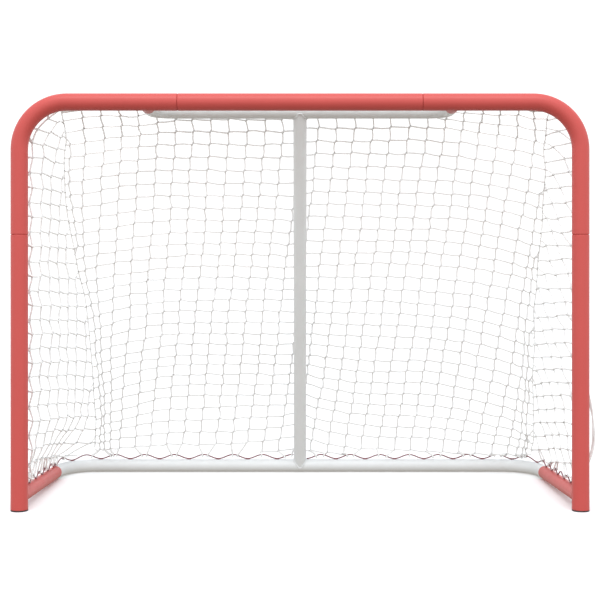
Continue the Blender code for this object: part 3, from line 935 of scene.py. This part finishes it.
ROW_HEIGHTS = ((7, 1.077), (15, 0.780), (26, 0.396), (31, 0.233), (33, 0.163), (35, 0.078))
FOLD_SAG = {
    LEFT: ((7, 0.043), (13, 0.047), (20, 0.055), (24, 0.076), (28, 0.082), (31, 0.065), (35, 0)),
    RIGHT: ((7, 0.053), (13, 0.052), (20, 0.056), (24, 0.064), (28, 0.066), (31, 0.063), (35, 0)),
}
POST_SAG = {
    LEFT: ((27, 0), (29, 0.008), (31, 0.020), (33, 0.032), (35, 0.030)),
    RIGHT: ((18, 0), (21, 0.012), (25, 0.020), (28, 0.032), (31, 0.048), (34, 0.055)),
}
POST_SAG_REACH = 0.12
FOLD_SAG_FROM_X, FOLD_SAG_POWER = 0.30, 2.3
FOLD_PULL_FROM_X, FOLD_PULL_POWER = 0.42, 2.2
TYPICAL_FOLD_X = 0.70
RIGHT_LIFT = ((16, 0.011), (22, 0))
RIGHT_LIFT_X = (-0.03, 0.04)
NET_OFFSET = BAR_R + TWINE_R + 0.0007
LEAN = (GROUND_DEPTH - SHELF_DEPTH) / (CROSSBAR_Z - BAR_R)

# The folds, from the top down: height, distance from the middle, depth

LEFT_FOLD = (
    (1.118, 0.672, 0.050),
    (1.055, 0.688, 0.200),
    (0.930, 0.702, 0.258),
    (0.731, 0.695, 0.360),
    (0.525, 0.668, 0.450),
    (0.262, 0.661, 0.530),
    (0.148, 0.663, 0.575),
    (0.062, 0.677, 0.622),
)
RIGHT_FOLD = (
    (1.122, 0.700, 0.050),
    (1.037, 0.717, 0.200),
    (0.937, 0.728, 0.240),
    (0.688, 0.733, 0.370),
    (0.474, 0.734, 0.455),
    (0.200, 0.750, 0.545),
    (0.102, 0.757, 0.575),
    (0.062, 0.752, 0.588),
)

# The same chance shifts each run: Blender's noise takes its offsets from the clock until seeded
rng = np.random.default_rng(NET_SEED)
noise.seed_set(NET_SEED)


def smoothstep(low, high, value):
    t = clamp((value - low) / (high - low))
    return t * t * (3 - 2 * t)


def blend(first, second, share):
    return first + (second - first) * share


class Fold:
    """The edge where the back panel is laced to a side panel, by height."""

    def __init__(self, side, points):
        controls = [at(side * x, depth, z) for z, x, depth in points]
        self.line = smooth_line(controls, 16)
        self.upwards = self.line[::-1]

    def point(self, z):
        return np.array([np.interp(z, self.upwards[:, 2], self.upwards[:, a]) for a in range(3)])


FOLDS = {LEFT: Fold(LEFT, LEFT_FOLD), RIGHT: Fold(RIGHT, RIGHT_FOLD)}


def wander(point, scale, reach):
    """A smooth shift that changes slowly from place to place."""
    return np.array(noise.noise_vector(Vector(point) * scale)) * reach


class Netting:
    """Rows and columns of twine, knotted where they cross."""

    def __init__(self):
        self.places, self.rows, self.columns = {}, [], []

    def ways(self, lines):
        """Which way a strand runs at each of its points."""
        ways = {}
        for line in lines:
            for index, key in enumerate(line):
                before, after = line[max(index - 1, 0)], line[min(index + 1, len(line) - 1)]
                ways[key] = unit(self.places[after] - self.places[before])
        return ways

    def weave(self, strands, knots):
        """Add every strand and knot: rows inside, columns outside, turned a little at each knot."""
        row_ways, column_ways = self.ways(self.rows), self.ways(self.columns)
        crossings = dict.fromkeys(key for key in row_ways if key in column_ways)

        def stops(key, own_ways, other_ways, layer):
            """Where a strand enters and leaves a knot, or the one point where it has none."""
            place = self.places[key]
            if key not in crossings:
                return [place]
            inwards = unit(np.cross(row_ways[key], column_ways[key])) * layer
            turn = own_ways[key] * KNOT_REACH + other_ways[key] * PINWHEEL
            return [place - turn + inwards, place + turn + inwards]

        rows = self.rows, row_ways, column_ways, LAYER
        columns = self.columns, column_ways, row_ways, -LAYER
        for lines, *ways in (rows, columns):
            for line in lines:
                path = []
                for key in line:
                    found = stops(key, *ways)
                    if path:
                        path.append((path[-1] + found[0]) / 2 + rng.normal(0, SLACK, 3))
                    path += found
                strands.add_line(smooth_line(path, 2), TWINE_R, TWINE_SIDES)
        for key in crossings:
            add_knot(knots, self.places[key], row_ways[key], column_ways[key])


def add_knot(skin, place, across, upwards):
    """A tight knot: a trefoil of twine, turned to the strands that it holds."""
    inwards = unit(np.cross(across, upwards))
    turn = 2 * math.pi * np.arange(KNOT_POINTS)[:, None] / KNOT_POINTS + rng.uniform(0, 2)
    flat = across * (np.sin(turn) + 2 * np.sin(2 * turn))
    flat = flat + upwards * (np.cos(turn) - 2 * np.cos(2 * turn))
    loop = place + KNOT_SCALE * (flat - inwards * np.sin(3 * turn))
    skin.add_line(loop, KNOT_R, KNOT_SIDES, closed=True)


def back_plane_depth(z):
    return GROUND_DEPTH - (z - BAR_R) * LEAN + NET_OFFSET * math.hypot(1, LEAN)


def by_row(table, row):
    rows, values = zip(*table)
    return float(np.interp(row, rows, values))


def slope_share(row):
    """How far down the slope a row lies, from 0 below the shelf bar to 1 at the ground bar."""
    top, bottom = ROW_HEIGHTS[0][1], ROW_HEIGHTS[-1][1]
    return (top - by_row(ROW_HEIGHTS, row)) / (top - bottom)


def row_height(x, row, fold_x):
    """The height of a row of the back panel: it sags from the centre post and to the folds."""
    side = side_of(x)
    lift = by_row(RIGHT_LIFT, row) * smoothstep(*RIGHT_LIFT_X, x)
    post_sag = by_row(POST_SAG[side], row) * (1 - math.exp(-abs(x) / POST_SAG_REACH))
    near_fold = clamp((abs(x) - FOLD_SAG_FROM_X) / (abs(fold_x) - FOLD_SAG_FROM_X))
    fold_sag = by_row(FOLD_SAG[side], row) * near_fold**FOLD_SAG_POWER
    return max(by_row(ROW_HEIGHTS, row) + lift - post_sag - fold_sag, LOWEST_TWINE_Z)


def fold_end(side, row):
    """Where a row of the back panel meets a fold."""
    fold = FOLDS[side]
    height = row_height(side * TYPICAL_FOLD_X, max(row, SHELF_ROW), TYPICAL_FOLD_X)
    if row < SHELF_ROW:
        height = blend(fold.line[0, 2], height, CROWDED_ROWS[row])
    return fold.point(height)


def slope_point(x, row):
    """A point of the back panel below the shelf bar."""
    fold = fold_end(side_of(x), row)
    z = row_height(x, row, fold[0])
    near_fold = clamp((abs(x) - FOLD_PULL_FROM_X) / (abs(fold[0]) - FOLD_PULL_FROM_X))
    pull = near_fold**FOLD_PULL_POWER
    return at(x, blend(back_plane_depth(z), fold[1] - PLANE_Y, pull), z)


def column_x(column, row):
    """Where a column crosses a row: columns lean to the left and crowd up to the folds."""
    share = slope_share(max(row, SHELF_ROW))
    lean = share * (COLUMN_LEAN + COLUMN_LEAN_GROWTH * share)
    x = FIRST_COLUMN_X + COLUMN_PITCH * column - lean
    side = side_of(x)
    width = CROWD_WIDTH + CROWD_WIDTH_GROWTH * share
    free = abs(fold_end(side, row)[0]) - width
    if abs(x) > free:
        x = side * (free + width * (1 - math.exp((free - abs(x)) / width)))
    return x


def front_edge_height(x):
    """The height of the rods behind the crossbar and its bends."""
    beyond = max(abs(x) - (POST_X - CORNER_BEND), 0)
    return CROSSBAR_Z - CORNER_BEND + math.sqrt(CORNER_BEND**2 - beyond**2)


def shelf_axis_depth(x):
    """How far back the shelf bar's axis is at a distance from the middle."""
    beyond = min(max(abs(x) - (SHELF_LEG_X - SHELF_BEND), 0), SHELF_BEND)
    return SHELF_DEPTH - SHELF_BEND + math.sqrt(SHELF_BEND**2 - beyond**2)


def over_shelf(x):
    """The net's line from the crossbar rod over the shelf bar to the first row below it."""
    start, end = at(x, ROD_EDGE_DEPTH, front_edge_height(x)), slope_point(x, SHELF_ROW)
    center = at(x, shelf_axis_depth(x), CROSSBAR_Z)
    angles = []
    for point, turn in ((start, -1), (end, 1)):
        offset = point - center
        reach = math.hypot(offset[1], offset[2])
        angles.append(math.atan2(offset[2], offset[1]) + turn * math.acos(NET_OFFSET / reach))
    arc = np.linspace(*angles, 9)[:, None]
    wrap = center + NET_OFFSET * (np.cos(arc) * BACK + np.sin(arc) * UP)
    return np.vstack([start, wrap, end])


def along_line(line, share):
    """The point at a share of a line's length."""
    lengths = np.concatenate([[0], np.cumsum(np.linalg.norm(np.diff(line, axis=0), axis=1))])
    return np.array([np.interp(share * lengths[-1], lengths, line[:, a]) for a in range(3)])


def roof_point(x, row):
    """A point of the back panel above its first row below the shelf bar."""
    supported = along_line(over_shelf(x), row / SHELF_ROW)
    start = at(x * FRONT_SHRINK, ROD_EDGE_DEPTH, front_edge_height(x) - ROD_EDGE_DROP)
    hanging = blend(start, slope_point(x, SHELF_ROW), CROWDED_ROWS[row])
    return blend(supported, hanging, smoothstep(*UNSUPPORTED_X, abs(x)))


def make_back_panel(net):
    """The panel that hangs from the crossbar over the shelf bar to the ground bar."""
    columns = {column: [] for column in BACK_COLUMNS}
    for row in range(LAST_ROW + 1):
        ends = {side: fold_end(side, row) for side in (LEFT, RIGHT)}
        line = []
        for column in BACK_COLUMNS:
            x = column_x(column, row)
            room = abs(ends[side_of(x)][0]) - abs(x)
            if room < FOLD_CLEARANCE or (row == LAST_ROW and abs(x) > SHORT_ROW_REACH):
                continue
            place = roof_point(x, row) if row < SHELF_ROW else slope_point(x, row)
            shift = wander(place, *BACK_WANDER) + rng.normal(0, BACK_STRAY, 3)
            if abs(x) < CENTER_POST_REACH or row <= SHELF_ROW:
                shift[1] = abs(shift[1])
            key = ("back", row, column)
            net.places[key] = place + shift * (1 if row else EDGE_ROW_SHIFT)
            line.append(key)
            columns[column].append(key)
        if row < LAST_ROW:
            net.places[LEFT, row], net.places[RIGHT, row] = ends[LEFT], ends[RIGHT]
            line = [(LEFT, row), *line, (RIGHT, row)]
        net.rows.append(line)
    columns = {column: line for column, line in columns.items() if line}
    for column, line in columns.items():
        first, last = line[0][1], line[-1][1]
        side = side_of(net.places[line[0]][0])
        strand = line[::-1]
        if last < LAST_ROW - 1:
            end, low, high = ("end", column), (LEFT, last), (LEFT, last + 1)
            net.places[end] = blend(net.places[low], net.places[high], FOLD_JOIN_SHARE)
            strand.insert(0, end)
        if first > 0:
            top, low, high = ("top", column), (side, first), (side, first - 1)
            net.places[top] = blend(net.places[low], net.places[high], FOLD_JOIN_SHARE)
            strand.append(top)
        net.columns.append(strand)
    return list(columns.values())


# The side panels

FRONT_EDGE_X = {LEFT: 0.754, RIGHT: 0.770}
FRONT_EDGE_DEPTH = 0.046
SIDE_ROW_HEIGHTS = {
    LEFT: ((0, 0.080), (14, 0.647), (44, 1.898)),
    RIGHT: ((0, 0.0815), (13, 0.573), (43, 1.800)),
}
SIDE_ROWS = 40
LAST_BEND_SHARE = 0.95
ZIGZAG = 0.004
SAG_TOP_Z = 0.75
SIDE_SAG = {LEFT: (0.105, 1.0), RIGHT: (0.16, 1.35)}
ROW_CURVE_POWER = 1.3
FLARE_HEIGHT = 0.18
FLARE_POWER = 1.5
FLARE_FADE_FROM = 0.65
FLARE_FADE_DROP = 0.004
LANDING_STEPS = 101
LANDING_FROM = 0.1
BEND_START_Z = CROSSBAR_Z - CORNER_BEND
BEND_START_X = POST_X - CORNER_BEND

# The side columns: the first one's depth, their pitch and their numbers. The right ones lean back.

SIDE_COLUMNS = {LEFT: (0.112, 0.0655, range(9)), RIGHT: (0.067, 0.103, range(-6, 11))}
RIGHT_LEAN, RIGHT_LOW_LEAN = 0.97, 0.4
LEAN_CHANGE_Z, UPRIGHT_Z = 0.3, 0.5
FIRST_COLUMN_SHARE, LAST_COLUMN_ROOM = 0.05, 0.04
LOWER_END_REACH = 0.12
SIDE_WANDER = (6.0, 0.005)
SIDE_STRAY = 0.0013


def rod_line_x(depth):
    """How far out the rods on the floor frame are at a depth."""
    beyond = min(max(depth - (GROUND_DEPTH - GROUND_BEND), 0), GROUND_BEND)
    return POST_X - GROUND_BEND + math.sqrt(GROUND_BEND**2 - beyond**2)


def floor_rod_top(depth):
    return max(rail_height(depth), BAR_R) + BAR_R + ROD_WAVE_HEIGHT + 2 * ROD_R


class SideRow:
    """One row of a side panel, from the post to the fold."""

    def __init__(self, side, index):
        self.side = side
        height = by_row(SIDE_ROW_HEIGHTS[side], index)
        fold = FOLDS[side]
        top = fold.line[0]
        edge_bend_r = FRONT_EDGE_X[side] - BEND_START_X
        turn_end = math.acos((abs(top[0]) - BEND_START_X) / edge_bend_r)
        beyond = (height - BEND_START_Z) / (edge_bend_r * turn_end)
        self.exists = beyond < LAST_BEND_SHARE
        if beyond <= 0:
            zigzag = ZIGZAG if index % 2 else -ZIGZAG
            self.front = at(side * (FRONT_EDGE_X[side] + zigzag), FRONT_EDGE_DEPTH, height)
            depth, power = SIDE_SAG[side]
            sag = depth * max(0, SAG_TOP_Z - height) ** power
            self.rear_z = height - sag
        else:
            turned = beyond * turn_end
            x = BEND_START_X + edge_bend_r * math.cos(turned)
            z = BEND_START_Z + edge_bend_r * math.sin(turned)
            self.front = at(side * x, FRONT_EDGE_DEPTH, z)
            self.rear_z = blend(BEND_START_Z, top[2], beyond)
        self.rear = fold.point(max(self.rear_z, fold.line[-1, 2]))
        self.end = self.find_end()

    def point(self, share):
        place = blend(self.front, self.rear, share)
        place[2] = blend(self.front[2], self.rear_z, share**ROW_CURVE_POWER)
        depth = place[1] - PLANE_Y
        floor = floor_rod_top(depth)
        flare = smoothstep(0.0, FLARE_HEIGHT, floor + FLARE_HEIGHT - place[2]) ** FLARE_POWER
        if self.rear_z > self.rear[2] - FLARE_FADE_DROP:
            flare *= 1 - smoothstep(FLARE_FADE_FROM, 1.0, share)
        place[0] = blend(place[0], self.side * rod_line_x(depth), flare)
        return place

    def find_end(self):
        """The share at which the row lands on a floor rod, or 1 if it reaches the fold."""
        for share in np.linspace(0, 1, LANDING_STEPS):
            place = self.point(share)
            if place[2] < floor_rod_top(place[1] - PLANE_Y) and share > LANDING_FROM:
                return float(share)
        return 1.0

    def share_at(self, column):
        """Where a column crosses the row, found in a few rounds from the row's height there."""
        share = 0.5
        for _ in range(6):
            depth = column_depth(self.side, column, self.point(clamp(share))[2])
            share = (PLANE_Y + depth - self.front[1]) / (self.rear[1] - self.front[1])
        return share


def column_depth(side, column, z):
    """How far back a column of a side panel is at a height."""
    first, pitch, _ = SIDE_COLUMNS[side]
    depth = first + pitch * column
    if side == LEFT:
        return depth
    lean = RIGHT_LEAN * (max(z, LEAN_CHANGE_Z) - UPRIGHT_Z)
    return depth + (lean + RIGHT_LOW_LEAN * min(z - LEAN_CHANGE_Z, 0))


def make_side_panel(net, side):
    """The panel between a post and a fold. Gives its rows and the ends that hang on floor rods."""
    rows = [SideRow(side, index) for index in range(SIDE_ROWS)]
    rows = [row for row in rows if row.exists]
    crossed = {column: [] for column in SIDE_COLUMNS[side][2]}
    for index, row in enumerate(rows):
        front, rear = ("front", side, index), ("rear", side, index)
        net.places[front] = row.front
        net.places[rear] = row.rear if row.end == 1 else row.point(row.end)
        line = [front]
        for share, column in sorted((row.share_at(column), column) for column in crossed):
            if not FIRST_COLUMN_SHARE < share < row.end - LAST_COLUMN_ROOM:
                continue
            key = ("side", side, index, column)
            place = row.point(share)
            net.places[key] = place + (wander(place, *SIDE_WANDER) + rng.normal(0, SIDE_STRAY, 3))
            line.append(key)
            crossed[column].append(key)
        line.append(rear)
        net.rows.append(line if side == LEFT else line[::-1])
    hung = []
    for column, line in crossed.items():
        if not line:
            continue
        lowest, first, last = line[0], line[0][2], line[-1][2]
        if last + 1 < len(rows):
            upper = ("upper", side, column)
            net.places[upper] = blend(net.places["rear", side, last], rows[last + 1].rear, 0.5)
            line.append(upper)
        if first > 0 and net.places[lowest][1] - PLANE_Y < FRONT_EDGE_DEPTH + LOWER_END_REACH:
            lower = ("lower", side, column)
            net.places[lower] = blend(rows[first - 1].front, rows[first].front, 0.5)
            line.insert(0, lower)
        else:
            hung.append(net.places[lowest])
        net.columns.append(line)
    return rows, hung


# Ties, edges and seams

TIE_REACH = 0.045
TIE_TURN = 125
EDGE_SIDES = 7
EDGE_STRAY = 0.0008
FOLD_STRAY = 0.0018
FOLD_CORD_R = TWINE_R * 0.8
SLACK_LOOP_STEPS = 10

# Slack twine that has slipped round the outside of the right post: height, distance, depth

SLACK_LOOPS = (
    (
        (0.38, 0.772, 0.05),
        (0.33, 0.808, 0.06),
        (0.25, 0.824, 0.06),
        (0.15, 0.818, 0.06),
        (0.11, 0.775, 0.05),
    ),
    (
        (0.35, 0.772, 0.05),
        (0.30, 0.814, 0.07),
        (0.20, 0.829, 0.06),
        (0.13, 0.812, 0.05),
        (0.10, 0.774, 0.05),
    ),
)


def add_tie(strands, knots, node, rod):
    """A loop of twine from a knot round a rod and back, off the rod's troughs."""
    along = rod.hold(node)
    center, step = rod.point(along), 0.001
    way = unit(rod.point(along + step) - rod.point(along - step))
    away = center - node
    away = unit(away - way * away.dot(way))
    across = np.cross(way, away)
    turn = np.radians(np.linspace(-TIE_TURN, TIE_TURN, 9))[:, None]
    loop = center + (ROD_R + TWINE_R + GAP) * (np.cos(turn) * away + np.sin(turn) * across)
    start, end = node - across * TWINE_R, node + across * TWINE_R
    strands.add_line(smooth_line([start, *loop, end], 2), TWINE_R, TWINE_SIDES, tips=True)
    add_knot(knots, node, way, away)


def add_cord(strands, line, radius, stray):
    """An edge cord, slightly crooked."""
    points = np.array(line) + rng.normal(0, stray, (len(line), 3))
    strands.add_line(smooth_line(points, 4), radius, EDGE_SIDES, tips=True)


def add_slack_loops(strands):
    for loop in SLACK_LOOPS:
        points = [at(x, depth, z) for z, x, depth in loop]
        path = smooth_line(points, SLACK_LOOP_STEPS)
        strands.add_line(path, TWINE_R, TWINE_SIDES, tips=True)


def tie_to_nearest(strands, knots, node, names, reach=TIE_REACH):
    """Tie a point of the net to the nearest of some rods, if that is in reach."""
    rod = min((RODS[name] for name in names), key=lambda rod: rod.distance(node))
    if rod.distance(node) < reach:
        add_tie(strands, knots, node, rod)


def make_back_net():
    strands, knots, net = Skin(), Skin(), Netting()
    columns = make_back_panel(net)
    net.weave(strands, knots)
    for line in columns:
        top, bottom = net.places[line[0]], net.places[line[-1]]
        if line[-1][1] >= LAST_ROW - 1:
            rods = (f"{SIDES[side_of(bottom[0])]}_ground",)
            tie_to_nearest(strands, knots, bottom, rods, math.inf)
        if line[0][1] == 0:
            rods = ("crossbar", f"{SIDES[side_of(top[0])]}_corner")
            tie_to_nearest(strands, knots, top, rods)
    replaced = ["net_top", "net_back"]
    for side_name in SIDES.values():
        replaced += [f"net_{side_name}_{part}" for part in ("shoulder", "roof")]
    strands.build("net_back_strands", "net_twine", replaced)
    knots.build("net_back_knots", "net_twine")


def make_side_net(side, side_name):
    strands, knots, net = Skin(), Skin(), Netting()
    rows, hung = make_side_panel(net, side)
    net.weave(strands, knots)
    edge = [row.front for row in rows]
    for node in edge:
        rods = [f"{side_name}_{part}" for part in ("post", "corner")]
        tie_to_nearest(strands, knots, node, rods)
    for node in hung:
        rods = [f"{side_name}_{part}" for part in ("rail", "ground")]
        tie_to_nearest(strands, knots, node, rods, math.inf)
    if side == RIGHT:
        add_slack_loops(strands)
    fold = FOLDS[side].line
    add_cord(strands, edge + [fold[0]], TWINE_R, EDGE_STRAY)
    add_cord(strands, fold[::6], FOLD_CORD_R, FOLD_STRAY)
    replaced = [f"net_{side_name}_{part}" for part in ("corner", "flank", "side")]
    strands.build(f"net_{side_name}_strands", "net_twine", replaced)
    knots.build(f"net_{side_name}_knots", "net_twine")


make_back_net()
for side, side_name in SIDES.items():
    make_side_net(side, side_name)


# Floor, light and camera

FLOOR_REACH = 60.0
KEY_PLACE = (0.0, -1.75, 3.6)
KEY_AIM = (0.0, PLANE_Y, 1.0)
KEY_SIZE = (3.0, 0.5)
KEY_POWER = 27
OVERHEAD_STRENGTH = 0.8
OVERHEAD_SOFTNESS = 50
OVERHEAD_TILT = 35
STUDIO_STRENGTH = 1.26
CAMERA_HEIGHT = 0.6835
CAMERA_DISTANCE = 3.3135
CAMERA_LENS = 71.9
CAMERA_SHIFT = -0.0608

# The studio's walls, as (height of the direction, colour): a dim warm floor to a cool ceiling

STUDIO = (
    (-1.0, (0.34, 0.31, 0.27)),
    (-0.28, (0.42, 0.39, 0.35)),
    (-0.08, (1.0, 1.0, 1.0)),
    (0.24, (1.0, 1.0, 1.0)),
    (0.40, (0.84, 0.87, 0.91)),
    (1.0, (0.92, 0.96, 1.0)),
)


def make_floor():
    """A pale floor. It takes light but sends none up: the studio's lower half does that."""
    ends = (-FLOOR_REACH, FLOOR_REACH)
    mesh = bpy.data.meshes.new("floor")
    mesh.from_pydata([(x, y, 0) for x in ends for y in ends], [], [(0, 2, 3, 1)])
    mesh.materials.append(Paint("floor", (0.97, 0.97, 0.97), 0.9).material)
    floor = add_object("floor", mesh)
    floor.visible_diffuse = False
    floor.visible_glossy = False
    floor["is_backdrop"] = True


def make_key():
    """A long strip light above and in front of the goal."""
    light = bpy.data.lights.new("key", "AREA")
    light.shape = "RECTANGLE"
    light.size, light.size_y = KEY_SIZE
    light.energy = KEY_POWER
    key = add_object("key", light)
    key.location = KEY_PLACE
    aim = Vector(KEY_AIM) - Vector(KEY_PLACE)
    key.rotation_euler = aim.to_track_quat("-Z", "Y").to_euler()


def make_overhead():
    """A wide, even light from above the camera, so that all of the floor stays pale."""
    light = bpy.data.lights.new("overhead", "SUN")
    light.energy = OVERHEAD_STRENGTH
    light.angle = math.radians(OVERHEAD_SOFTNESS)
    add_object("overhead", light).rotation_euler = (math.radians(OVERHEAD_TILT), 0, 0)


def make_world():
    world = bpy.data.worlds.new("studio")
    bpy.context.scene.world = world
    world.use_nodes = True
    nodes, links = world.node_tree.nodes, world.node_tree.links
    split = nodes.new("ShaderNodeSeparateXYZ")
    links.new(nodes.new("ShaderNodeTexCoord").outputs["Generated"], split.inputs["Vector"])
    share = nodes.new("ShaderNodeMapRange")
    share.inputs["From Min"].default_value = -1
    links.new(split.outputs["Z"], share.inputs["Value"])
    walls = nodes.new("ShaderNodeValToRGB")
    links.new(share.outputs["Result"], walls.inputs["Fac"])
    stops = walls.color_ramp.elements
    while len(stops) < len(STUDIO):
        stops.new(0.5)
    for stop, (height, color) in zip(stops, STUDIO):
        stop.position = (height + 1) / 2
        stop.color = (*color, 1)
    nodes["Background"].inputs["Strength"].default_value = STUDIO_STRENGTH
    links.new(walls.outputs["Color"], nodes["Background"].inputs["Color"])


def make_camera():
    data = bpy.data.cameras.new("camera")
    data.lens = CAMERA_LENS
    data.shift_y = CAMERA_SHIFT
    camera = add_object("camera", data)
    camera.location = (0, PLANE_Y - CAMERA_DISTANCE, CAMERA_HEIGHT)
    camera.rotation_euler = (math.pi / 2, 0, 0)
    bpy.context.scene.camera = camera


make_floor()
make_world()
make_overhead()
make_key()
make_camera()
bpy.context.scene.view_settings.view_transform = "Standard"

boxes = {"cad": CAD_BOX, "visual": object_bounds()}
{name: [list(corner) for corner in box] for name, box in boxes.items()}
